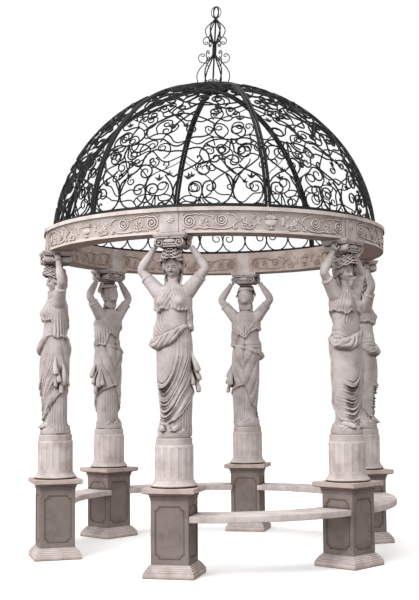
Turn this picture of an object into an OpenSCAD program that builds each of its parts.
// Round garden pavilion: six stone figures on fluted drums and square pedestals carry a carved
// stone ring, and six wrought iron panels make the dome. Millimetres, +Z up, the origin is on
// the ground in the middle, and the way in between columns 6 and 1 faces -Y.

/* [Plan] */
// Radius of the circle that the column centres stand on
col_r = 1430; // [1350:5:1500]

/* [Pedestal] */
// Height of a pedestal
ped_h = 660; // [620:5:700]
// Width of the plinth at the foot
plinth_w = 394; // [370:2:410]
// Height of the plinth block below its moulding
plinth_h = 70; // [60:1:80]
// Height of the moulding between the plinth and the shaft
plinth_mould_h = 28; // [22:1:36]
// Width of the pedestal's shaft
dado_w = 292; // [270:2:310]
// Height of the moulding under the cap
cap_mould_h = 26; // [20:1:32]
// Height of the cap slab
cap_h = 36; // [30:1:44]
// Width of the cap slab
cap_w = 404; // [380:2:420]
// Width of the plain border round the sunk panel of a face
border = 42; // [34:1:50]
// Depth of the sunk panel
panel_depth = 3; // [2:0.5:5]
// Radius of the notches at the panel's corners
notch_r = 30; // [24:1:36]

/* [Drum] */
// Radius of the rounded foot of the drum
torus_r = 176; // [168:1:182]
// Height of the rounded foot of the drum
torus_h = 54; // [48:1:60]
// Radius of the fluted drum
drum_r = 148; // [142:1:154]
// Height of the fluted drum
drum_h = 263; // [240:1:290]
// Number of flutes round the drum
flutes = 16; // [14:1:18]
// Radius of a flute
flute_r = 17; // [14:1:18]
// Radius of the plain ring on top of the drum
neck_r = 137; // [130:1:142]
// Height of the plain ring on top of the drum
neck_h = 54; // [46:1:60]

/* [Figure] */
// Height of a figure from its base to the capital
fig_h = 1414; // [1380:2:1440]
// Radius of the rocky base under the feet
fig_base_r = 128; // [118:1:134]
// Distance of an elbow from the middle
elbow_x = 236; // [220:2:250]
// Depth of the folds of the dress
fold_d = 9; // [6:1:12]

/* [Capital] */
// Height of a capital
capital_h = 145; // [136:1:156]
// Width of the abacus
abacus_w = 256; // [244:2:268]
// Height of the abacus
abacus_h = 34; // [28:1:40]
// Radius of a volute
volute_r = 36; // [32:1:38]
// Distance of a volute's centre from the middle
volute_x = 78; // [72:1:84]
// Radius of the neck under the volutes
bell_r = 52; // [46:1:58]

/* [Ring beam] */
// How far the ring's outer face stands outside the circle of the columns
beam_out = 70; // [50:2:90]
// Width of the ring beam from its outer to its inner face
beam_w = 190; // [170:2:210]
// Height of the ring beam
beam_h = 200; // [180:2:220]
// Height of the lip along the ring's top edge
lip_h = 30; // [24:1:36]
// How far the lip stands out
lip_out = 20; // [14:1:26]
// Width of the plain block over each column
block_w = 126; // [116:2:136]
// How far the plain block stands proud of the ring's face
block_out = 6; // [4:1:10]
// Joint between two stones of the ring
joint_gap = 0.5; // [0.3:0.1:0.8]

/* [Benches] */
// Height of the seats
seat_h = 455; // [430:5:480]
// Thickness of a seat slab
seat_t = 50; // [42:1:60]
// How far a seat reaches inside the circle of the columns
seat_in = 178; // [160:2:190]
// How far a seat reaches outside the circle of the columns
seat_out = 144; // [130:2:150]
// Depth of the pocket that a seat's end sits in
pocket = 20; // [15:1:25]
// Play round a seat's end in its pocket
pocket_play = 0.4; // [0.3:0.1:0.6]

/* [Dome] */
// Distance of the dome's foot from the ring's outer face
dome_in = 63; // [55:1:75]
// Depth of the sphere's centre below the ring's top
dome_drop = 90; // [70:5:110]
// Width of a dome bar across the surface
bar_w = 22; // [18:1:26]
// Thickness of a dome bar through the surface
bar_t = 22; // [18:1:26]
// Height of the foot bar that stands on the ring
foot_bar_h = 38; // [30:1:44]
// Width of a scroll strip across the surface
scroll_w = 13; // [11:1:16]
// Gap between the side bars of two panels
panel_gap = 8; // [6:1:12]
// Radius of the bolts that join two panels
bolt_r = 7; // [5:1:9]
// Radius of the crown plate on top
crown_r = 150; // [146:2:160]
// Thickness of the crown plate
crown_t = 16; // [12:1:20]

/* [Finial] */
// Radius of the finial's rod
rod_r = 8; // [7:1:10]
// Height of the lower cage
low_cage_h = 300; // [284:2:316]
// Radius of the lower cage
low_cage_r = 150; // [140:2:158]
// Height of the waist between the cages
waist_h = 100; // [90:2:110]
// Radius of the bundled strips at the waist
waist_r = 15; // [14:1:18]
// Height of the upper cage
top_cage_h = 228; // [216:2:240]
// Radius of the upper cage
top_cage_r = 98; // [88:2:104]
// Length of the stem under the ball
ball_stem = 19; // [16:1:26]
// Height of the ball at the tip
ball_h = 103; // [96:1:110]
// Radius of the ball at the tip
ball_r = 46; // [42:1:50]
// Height of a curl between the cages
tier_h = 78; // [70:2:86]
// Reach of the lower curls
low_tier_r = 156; // [146:2:164]
// Reach of the upper curls
top_tier_r = 118; // [110:2:126]
// Width of a finial strip
strip_w = 9; // [7:1:11]
// Width of a curl's strip
curl_w = 7; // [5:1:8]
// Thickness of a finial strip
strip_t = 5; // [4:0.5:6]
// How far the finial leans from upright
finial_lean = 3; // [0:0.5:4]

/* [Hidden] */
// Facets of a full turn of the large rings, whose true surfaces are round
ring_fn = 240;
// Number of columns, and the angle between two of them
cols = 6;
step = 360 / cols;
// Colours of the stones and the iron
stone = [0.86, 0.81, 0.77];
grey_stone = [0.62, 0.59, 0.55];
iron = [0.1, 0.1, 0.11];
// Heights of the parts of a column
drum_z = ped_h;
fig_z = drum_z + torus_h + drum_h + neck_h;
capital_z = fig_z + fig_h;
beam_z = capital_z + capital_h;
beam_top = beam_z + beam_h;
beam_r = col_r + beam_out;
beam_in_r = beam_r - beam_w;
seat_in_r = col_r - seat_in;
seat_out_r = col_r + seat_out;
// Radius of the dome's sphere and the height of its centre, so that its foot stands on the ring
dome_r = sqrt(pow(beam_r - dome_in, 2) + pow(dome_drop, 2));
dome_z = beam_top - dome_drop;
// Half of the angle that a plain block takes up on the ring
block_a = asin(block_w / 2 / beam_r);
gap_a = asin(joint_gap / beam_r);
// Small edges of the ring's section
edge_out = 6;
foot_edge_h = 16;
slant_h = 14;
// Turn of the finial's strips round its axis, and the side that it leans to
finial_turn = 13 - 90;
lean_a = 43;

// Azimuth of column k, counted from the entrance
function col_a(k) = step * (k - 0.5);

// Point on the dome, from its azimuth in the panel, its elevation and its depth below the surface
function on_dome(a, e, r = dome_r) =
    [r * cos(e) * sin(a), -r * cos(e) * cos(a), dome_z + r * sin(e)];

// Places its children at azimuth a and radius r, with their -Y side facing out
module at(a, r = 0) {
    rotate([0, 0, a]) translate([0, -r, 0]) children();
}

// Square solid with the same moulded outline on its four sides: outline is [half width, height]
module square_turned(outline) {
    top = max([for (p = outline) p[1]]);
    wide = max([for (p = outline) p[0]]);
    both = concat(outline, [for (i = [len(outline) - 1:-1:0]) [-outline[i][0], outline[i][1]]]);
    intersection() {
        translate([0, wide, 0]) rotate([90, 0, 0]) linear_extrude(2 * wide) polygon(both);
        translate([-wide, 0, 0]) rotate([90, 0, 90]) linear_extrude(2 * wide) polygon(both);
    }
}

// Flat bar with four sides swept along points, ups are the directions of its thickness
module swept_bar(points, ups, w, t) {
    last = len(points) - 1;
    rings = [for (i = [0:last])
        let (along = points[min(i + 1, last)] - points[max(i - 1, 0)],
             up = ups[i] / norm(ups[i]),
             side = cross(along, up) / norm(cross(along, up)))
        each [for (c = [[-1, -1], [1, -1], [1, 1], [-1, 1]])
            points[i] + side * c[0] * w / 2 + up * c[1] * t / 2]];
    sides = [for (i = [0:last - 1], j = [0:3])
        [4 * i + j, 4 * i + (j + 1) % 4, 4 * i + 4 + (j + 1) % 4, 4 * i + 4 + j]];
    ends = [[3, 2, 1, 0], [for (j = [0:3]) 4 * last + j]];
    polyhedron(rings, concat(sides, ends));
}

// Bar on the dome through points given as [azimuth, elevation]
module dome_bar(route, w, t, r = dome_r) {
    points = [for (q = route) on_dome(q[0], q[1], r)];
    swept_bar(points, [for (q = points) q - [0, 0, dome_z]], w, t);
}

// A slab of the bench circle, grown by play, between two azimuths
module seat_ring(play = 0) {
    a = step;
    translate([0, 0, seat_h - seat_t - play])
        rotate_extrude(angle = a, start = -90 - a / 2, $fn = ring_fn)
            translate([seat_in_r - play, 0])
                square([seat_out_r - seat_in_r + 2 * play, seat_t + 2 * play]);
}

// Sunk panel of a pedestal's face, its corners cut by quarter circles
module face_panel(w, low, high) {
    corners = [[w, high, 270], [-w, high, 360], [-w, low, 90], [w, low, 180]];
    polygon([for (c = corners) for (t = [0:30:90])
        [c[0] + notch_r * cos(c[2] - t), c[1] + notch_r * sin(c[2] - t)]]);
}

module pedestal(k) {
    w0 = plinth_w / 2;
    w1 = dado_w / 2;
    w2 = cap_w / 2;
    z1 = plinth_h + plinth_mould_h;
    z2 = ped_h - cap_h - cap_mould_h;
    // Small square edges of the mouldings, and the rise of their slopes
    lip = 8;
    fillet = 6;
    rise = 2;
    inner = w1 + fillet;
    curve_w0 = w0 - inner - lip - 2 * rise;
    curve_w2 = w2 - inner - lip - 2 * rise;
    curve_z0 = plinth_h + 2 * rise;
    curve_z2 = z2 + 2 * rise;
    outline = [[w0, 0], [w0, plinth_h], [w0 - lip, plinth_h + rise],
               for (t = [0:15:90])
                   [inner + curve_w0 * (1 - sin(t)), curve_z0 + (plinth_mould_h - lip) * (1 - cos(t))],
               [w1, z1], [w1, z2], [inner, z2 + rise],
               for (t = [0:15:90])
                   [inner + curve_w2 * (1 - cos(t)), curve_z2 + (cap_mould_h - lip) * sin(t)],
               [w2 - lip, ped_h - cap_h], [w2, ped_h - cap_h], [w2, ped_h]];
    color(grey_stone) difference() {
        at(col_a(k), col_r) square_turned(outline);
        at(col_a(k), col_r) for (a = [0:90:270]) rotate([0, 0, a])
            translate([0, -w1 + panel_depth, 0]) rotate([90, 0, 0])
                linear_extrude(2 * panel_depth) face_panel(w1 - border, z1 + border, z2 - border);
        for (s = [-1, 1]) if (k + (s + 1) / 2 > 1 && k + (s + 1) / 2 < cols + 1)
            intersection() {
                at(step * (k + (s - 1) / 2)) seat_ring(pocket_play);
                at(col_a(k), col_r) translate([s > 0 ? w1 - pocket : -w1 - 1, -dado_w, 0])
                    cube([pocket + 1, 2 * dado_w, ped_h]);
            }
    }
}

module drum(k) {
    z2 = torus_h + drum_h;
    // Radius of the rounded foot's edge
    round_r = torus_h * 0.36;
    // Plain band under and over the flutes, and the share of a flute's radius outside the drum
    flute_low = 22;
    flute_high = 18;
    outside = 0.45;
    at(col_a(k), col_r) translate([0, 0, drum_z]) color(stone) difference() {
        rotate_extrude($fn = 96) union() {
            square([torus_r - round_r, torus_h]);
            translate([torus_r - round_r, round_r]) circle(round_r);
            square([drum_r, z2]);
            square([neck_r, z2 + neck_h]);
        }
        for (i = [0:flutes - 1]) rotate([0, 0, 360 * (i + 0.5) / flutes])
            translate([drum_r + flute_r * outside, 0, torus_h + flute_low])
                cylinder(h = drum_h - flute_low - flute_high, r = flute_r);
    }
}

// Closed skin over rings of points that all have the same number of points
module skin(rings) {
    n = len(rings[0]);
    last = len(rings) - 1;
    sides = [for (j = [0:last - 1], i = [0:n - 1]) let (a = j * n + i, b = j * n + (i + 1) % n)
        each [[a, b, b + n], [a, b + n, a + n]]];
    polyhedron([for (r = rings) each r],
               concat([for (f = sides) [f[0], f[2], f[1]]], [[for (i = [0:n - 1]) i]],
                      [[for (i = [n - 1:-1:0]) last * n + i]]));
}

// Standing woman in a long dress with a mantle round the hips, arms raised to the capital.
// A row of body is [height, half width, half depth, forward, share of the fold depth, turn of the
// folds], drawn for a figure of drawn_h
module caryatid(k) {
    drawn_h = 1414;
    tall = fig_h / drawn_h;
    folds = 8;
    body = [[60, 116, 102, 0, 0.5, 0], [225, 121, 102, 0, 1, 0], [240, 131, 112, 3, 1, 3],
            [350, 135, 117, 10, 1, 14], [480, 141, 125, 18, 1, 28], [640, 143, 119, 9, 0.8, 46],
            [790, 148, 115, 4, 0.6, 60], [860, 129, 96, 3, 0.8, 60], [930, 139, 104, 7, 0.9, 60],
            [1045, 142, 110, 13, 0.4, 60], [1120, 124, 78, 0, 0.3, 60], [1175, 50, 48, 0, 0, 60],
            [1230, 42, 44, 0, 0, 60]];
    rings = [for (q = body) [for (i = [0:2 * folds - 1])
        let (a = 180 * i / folds + q[5], d = q[4] * fold_d * (i % 2 == 0 ? 0.5 : -0.5))
            [(q[1] + d) * sin(a), -q[3] - (q[2] + d) * cos(a), q[0] * tall]]];
    shoulder = [100, 0, 1100 * tall];
    elbow = [elbow_x, 8, 1280 * tall];
    hand = [volute_x + volute_r + 24, -4, fig_h + 60];
    shoulder_r = 56;
    elbow_r = 38;
    hand_r = 19;
    // Middle and half size of the head with its hair, and the wreath over it
    head_z = fig_h - 108 * tall;
    head_size = [66, 74, 98 * tall];
    wreath_h = 46 * tall;
    wreath_r = [78, 72];
    // Rolled edge of the mantle from the right hip to the left waist, and its end that hangs there
    roll = [[-132, -62, 730 * tall], [100, -80, 845 * tall]];
    roll_r = 27;
    tail = [[114, -56, 800 * tall], [148, -32, 400 * tall]];
    tail_r = [18, 34];
    // Height of the rocky base, and a foot that stands on it
    base_h = 96;
    base_in = 9;
    foot = [50, -104, base_h - 12];
    foot_h = 36;
    foot_r = [26, 16];
    foot_long = 1.9;
    at(col_a(k), col_r) translate([0, 0, fig_z]) color(stone) union() {
        cylinder(h = base_h, r1 = fig_base_r, r2 = fig_base_r - base_in, $fn = 12);
        skin(rings);
        translate([0, 0, head_z]) scale(head_size) sphere(1, $fn = 8);
        translate([0, 0, fig_h - wreath_h])
            cylinder(h = wreath_h, r1 = wreath_r[0], r2 = wreath_r[1], $fn = 10);
        hull() for (q = roll) translate(q) sphere(roll_r, $fn = 5);
        hull() for (i = [0, 1]) translate(tail[i]) sphere(tail_r[i], $fn = 5);
        for (s = [-1, 1]) {
            hull() {
                translate([s * shoulder[0], shoulder[1], shoulder[2]]) sphere(shoulder_r, $fn = 5);
                translate([s * elbow[0], elbow[1], elbow[2]]) sphere(elbow_r, $fn = 5);
            }
            hull() {
                translate([s * elbow[0], elbow[1], elbow[2]]) sphere(elbow_r, $fn = 5);
                translate([s * hand[0], hand[1], hand[2]]) sphere(hand_r, $fn = 5);
            }
            translate([s * foot[0], foot[1], foot[2]]) scale([1, foot_long, 1])
                cylinder(h = foot_h, r1 = foot_r[0], r2 = foot_r[1], $fn = 6);
        }
    }
}

module capital(k) {
    volute_z = capital_h - abacus_h - volute_r;
    // Front of the volutes, their rims and eyes, and the step under the abacus
    face_y = abacus_w / 2 - 12;
    rim = 8;
    sunk = 6;
    eye_r = 9;
    eye_out = 5;
    step_w = 9;
    step_h = 13;
    low_w = abacus_w / 2 - step_w;
    // Outline of the neck: two rings, a bead and the egg band, each [distance from bell_r, height]
    bell = [[4, 0], [6, 8], [0, 12], [10, 18], [10, 28], [4, 32], [16, 38], [16, 46], [20, volute_z + 1]];
    at(col_a(k), col_r) translate([0, 0, capital_z]) color(stone) union() {
        translate([-abacus_w / 2, -abacus_w / 2, capital_h - abacus_h + step_h])
            cube([abacus_w, abacus_w, abacus_h - step_h]);
        translate([-low_w, -low_w, capital_h - abacus_h]) cube([2 * low_w, 2 * low_w, step_h]);
        for (s = [-1, 1]) translate([s * volute_x, 0, volute_z]) rotate([90, 0, 0]) {
            for (f = [-1, 1]) translate([0, 0, f * (face_y - rim) - rim])
                cylinder(h = 2 * rim, r = volute_r);
            cylinder(h = 2 * face_y, r = volute_r - sunk, center = true);
            cylinder(h = 2 * (face_y + eye_out), r = eye_r, center = true);
        }
        translate([-volute_x, -face_y + sunk, volute_z + sunk])
            cube([2 * volute_x, 2 * (face_y - sunk), volute_r - sunk]);
        rotate_extrude($fn = 64)
            polygon(concat([[0, 0]], [for (q = bell) [bell_r + q[0], q[1]]], [[0, volute_z + 1]]));
    }
}

// Section of the ring whose outer face has radius r: fillet below, a slanted edge and the lip above
function ring_section(r) =
    [[beam_in_r, 0], [r + edge_out, 0], [r + edge_out, foot_edge_h], [r, foot_edge_h + edge_out],
     [r, beam_h - lip_h - slant_h], [r + edge_out, beam_h - lip_h], [r + lip_out, beam_h - lip_h],
     [r + lip_out, beam_h], [beam_in_r, beam_h]];

module beam(k) {
    half = step / 2 - block_a - gap_a;
    outline = ring_section(beam_r);
    color(stone) rotate([0, 0, step * (k - 1)]) translate([0, 0, beam_z])
        rotate_extrude(angle = 2 * half, start = -90 - half, $fn = ring_fn) polygon(outline);
}

module joint_blocks() {
    color(stone) for (k = [1:cols]) rotate([0, 0, col_a(k)]) translate([0, 0, beam_z])
        rotate_extrude(angle = 2 * block_a, start = -90 - block_a, $fn = ring_fn)
            polygon(ring_section(beam_r + block_out));
}

module bench(k) {
    clear_w = dado_w - 2 * (pocket - pocket_play);
    color(stone) difference() {
        at(step * k) seat_ring();
        for (s = [0, 1]) at(col_a(k + s), col_r)
            translate([-clear_w / 2, -dado_w, 0]) cube([clear_w, 2 * dado_w, ped_h]);
    }
}

// Points of a spiral round [x, e] that winds in by turn degrees from radius r0 to r1
function coil(x, e, r0, r1, start, turn, n) =
    [for (i = [0:n]) let (r = r0 + (r1 - r0) * i / n, a = start + turn * i / n)
        [x + r * cos(a), e + r * sin(a)]];

// Elevations of the foot bar and of the top bar, and the ones that the scrolls are drawn for
foot_e = asin((dome_drop + foot_bar_h / 2) / dome_r);
top_e = acos((crown_r - bar_w / 2) / dome_r);
drawn_foot_e = 4.34;
drawn_top_e = 84.46;
function fit_e(e) = foot_e + (e - drawn_foot_e) * (top_e - foot_e) / (drawn_top_e - drawn_foot_e);

// Scrolls of the right half of a panel, as [distance from the middle, elevation] in flat degrees
SCROLLS = [
    // circles on the foot bar
    coil(4.9, 9.2, 4.6, 2.4, 270, 350, 7),
    coil(14.2, 9.2, 4.6, 2.4, 270, -350, 7),
    coil(23.3, 9.2, 4.6, 2.4, 270, 350, 7),
    // arms that rise between the circles
    concat([[18.7, 4.6], [18.2, 13.4], [12.4, 17.4]], coil(9.6, 16.6, 2.6, 1.2, 60, 280, 4)),
    concat([[18.3, 11.4], [21.6, 16.4], [26.4, 20.6]], coil(22.6, 22.8, 3.3, 1.6, 10, 300, 5)),
    // long wave and the curl on its back
    [[27.4, 21.6], [26.2, 25.6], [21.6, 28.3], [14.4, 27.9], [9.4, 25.6], [8.2, 18.4]],
    concat([[16.6, 28.1]], coil(18.4, 31.6, 3, 1.4, -60, 290, 4)),
    // curls on the cross scroll and on the bar over it
    concat([[2.4, 44.2]], coil(4.2, 48.2, 3.2, 1.5, 200, -290, 4)),
    concat([[13.2, 44]], coil(11.3, 48.4, 3, 1.5, -20, 290, 4)),
    concat([[3.4, 54]], coil(4.1, 59.2, 2.9, 1.4, 200, -290, 4))];

// Scrolls that run from the middle to both side bars, as points of the right half
CROSS_SCROLLS = [
    [[0, 27], [7.6, 27.4], [11.1, 32.6], [13.6, 37.6], [21.2, 43.6]],
    [[0, 40.8], [6, 38.6], [11.4, 33.2], [13.6, 28]],
    [[0, 44.4], [6, 44], [13, 43.9], [20.3, 46.2]],
    [[0, 52.4], [5.2, 54.8], [17.3, 53]],
    [[0, 65.4], [6.4, 65.8], [12.2, 64.6]],
    [[0, 75.4], [7.3, 75]]];

// Bar of three sides on the dome along a line of the flat panel
module scroll_bar(line) {
    last = len(line) - 1;
    half = scroll_w / 2;
    points = [for (q = line) on_dome(q[0] / cos(q[1]), fit_e(q[1]))];
    skin([for (i = [0:last])
        let (along = points[min(i + 1, last)] - points[max(i - 1, 0)],
             up = points[i] - [0, 0, dome_z],
             out = half * up / norm(up),
             side = half * cross(along, up) / norm(cross(along, up)))
        [points[i] - side + out, points[i] + side + out, points[i] - out]]);
}

// One sixth of the dome: side bars, foot bar and top bar with scrolls between them
module dome_panel(k) {
    side_off = panel_gap / 2 + bar_w / 2;
    function side_a(e) = step / 2 - asin(side_off / (dome_r * cos(e)));
    rows = 7;
    at(col_a(k)) color(iron) union() {
        for (s = [-1, 1]) {
            dome_bar([for (i = [0:rows]) let (e = foot_e + (top_e - foot_e) * i / rows)
                         [s * side_a(e), e]], bar_w, bar_t);
            for (line = SCROLLS) scroll_bar([for (q = line) [s * q[0], q[1]]]);
        }
        for (line = CROSS_SCROLLS)
            scroll_bar(concat([for (i = [len(line) - 1:-1:1]) [-line[i][0], line[i][1]]], line));
        dome_bar([for (i = [-3:3]) [side_a(foot_e) * i / 3, foot_e]], foot_bar_h, bar_w);
        dome_bar([for (i = [-1:1]) [side_a(top_e) * i, top_e]], bar_w, bar_t);
    }
}

// Bolts between the side bars of neighbouring panels
module panel_bolts() {
    bolt_e = [12, 40, 66];
    color(iron) for (k = [1:cols]) for (e = bolt_e) at(step * k)
        translate([-panel_gap / 2, -dome_r * cos(e), dome_z + dome_r * sin(e)])
            rotate([0, 90, 0]) cylinder(h = panel_gap, r = bolt_r);
}

module dome_crown() {
    z = dome_z + sqrt(dome_r * dome_r - crown_r * crown_r) + bar_t / 2;
    color(iron) translate([0, 0, z]) cylinder(h = crown_t, r = crown_r);
}

// Six flat strips round the finial's axis, along points of [radius, height]
module strips(outline, w = strip_w) {
    last = len(outline) - 1;
    points = [for (q = outline) [q[0], 0, q[1]]];
    outs = [for (i = [0:last]) let (along = points[min(i + 1, last)] - points[max(i - 1, 0)])
        [along[2], 0, -along[0]]];
    for (i = [0:5]) rotate([0, 0, finial_turn + 60 * i]) swept_bar(points, outs, w, strip_t);
}

// Share of a bulge's radius at share t of its height, nothing at both ends
function bulge(t, widest) =
    t < widest ? sin(90 * t / widest) : pow(cos(90 * (t - widest) / (1 - widest)), 1.3);

// Radius and height of the lower and the upper cage at share t of the way up
function low_cage(t) =
    [waist_r + (low_cage_r - waist_r) * bulge(0.25 + 0.75 * t, 0.5), low_cage_h * t];
function top_cage(t) =
    [waist_r + (top_cage_r - waist_r) * bulge(t, 0.55) * (0.8 + 0.2 * t),
     low_cage_h + waist_h + top_cage_h * t];

// Curl from a point on a cage out to radius r and back in, up is -1 for one that hangs down
function curl(start, r, up) =
    let (mid = tier_h / 2)
        concat([start], [for (t = [-60:60:120]) let (s = mid * (t < 90 ? 1 : 0.7))
            [r - mid + s * cos(t), start[1] + up * (0.84 * mid + s * sin(t))]]);

module finial() {
    z = dome_z + sqrt(dome_r * dome_r - crown_r * crown_r) + bar_t / 2 + crown_t;
    top_z = low_cage_h + waist_h;
    ball_z = top_z + top_cage_h + ball_stem;
    ball = [for (t = [0:45:180])
        [rod_r * 0.8 + (ball_r - rod_r) * sin(t), ball_z + ball_h / 2 * (1 - cos(t))]];
    collars = [low_cage_h + waist_h / 2, top_z + top_cage_h, ball_z, ball_z + ball_h];
    collar_h = 12;
    collar_r = waist_r + 5;
    lean = [tan(finial_lean) * cos(lean_a), tan(finial_lean) * sin(lean_a)];
    color(iron) translate([0, 0, z])
        multmatrix([[1, 0, lean[0], 0], [0, 1, lean[1], 0], [0, 0, 1, 0], [0, 0, 0, 1]]) union() {
            cylinder(h = ball_z, r = rod_r, $fn = 6);
            strips(concat([for (i = [0:5]) low_cage(i / 5)], [for (i = [0:5]) top_cage(i / 5)]));
            strips(ball);
            for (h = collars) translate([0, 0, h - collar_h / 2])
                cylinder(h = collar_h, r = collar_r, $fn = 8);
            strips(curl(low_cage(0.78), low_tier_r, 1), curl_w);
            strips(curl(top_cage(0.14), top_tier_r, -1), curl_w);
            for (i = [0:5]) rotate([0, 0, finial_turn + 60 * i])
                translate([low_cage(0)[0] - 2 * strip_w, -strip_w, 0])
                    cube([4 * strip_w, 2 * strip_w, strip_t]);
        }
}

pedestal(1);  // pedestal_1
pedestal(2);  // pedestal_2
pedestal(3);  // pedestal_3
pedestal(4);  // pedestal_4
pedestal(5);  // pedestal_5
pedestal(6);  // pedestal_6
drum(1);  // drum_1
drum(2);  // drum_2
drum(3);  // drum_3
drum(4);  // drum_4
drum(5);  // drum_5
drum(6);  // drum_6
caryatid(1);  // caryatid_1
caryatid(2);  // caryatid_2
caryatid(3);  // caryatid_3
caryatid(4);  // caryatid_4
caryatid(5);  // caryatid_5
caryatid(6);  // caryatid_6
capital(1);  // capital_1
capital(2);  // capital_2
capital(3);  // capital_3
capital(4);  // capital_4
capital(5);  // capital_5
capital(6);  // capital_6
beam(1);  // beam_1
beam(2);  // beam_2
beam(3);  // beam_3
beam(4);  // beam_4
beam(5);  // beam_5
beam(6);  // beam_6
joint_blocks();
bench(1);  // bench_1
bench(2);  // bench_2
bench(3);  // bench_3
bench(4);  // bench_4
bench(5);  // bench_5
dome_panel(1);  // dome_panel_1
dome_panel(2);  // dome_panel_2
dome_panel(3);  // dome_panel_3
dome_panel(4);  // dome_panel_4
dome_panel(5);  // dome_panel_5
dome_panel(6);  // dome_panel_6
panel_bolts();
dome_crown();
finial();
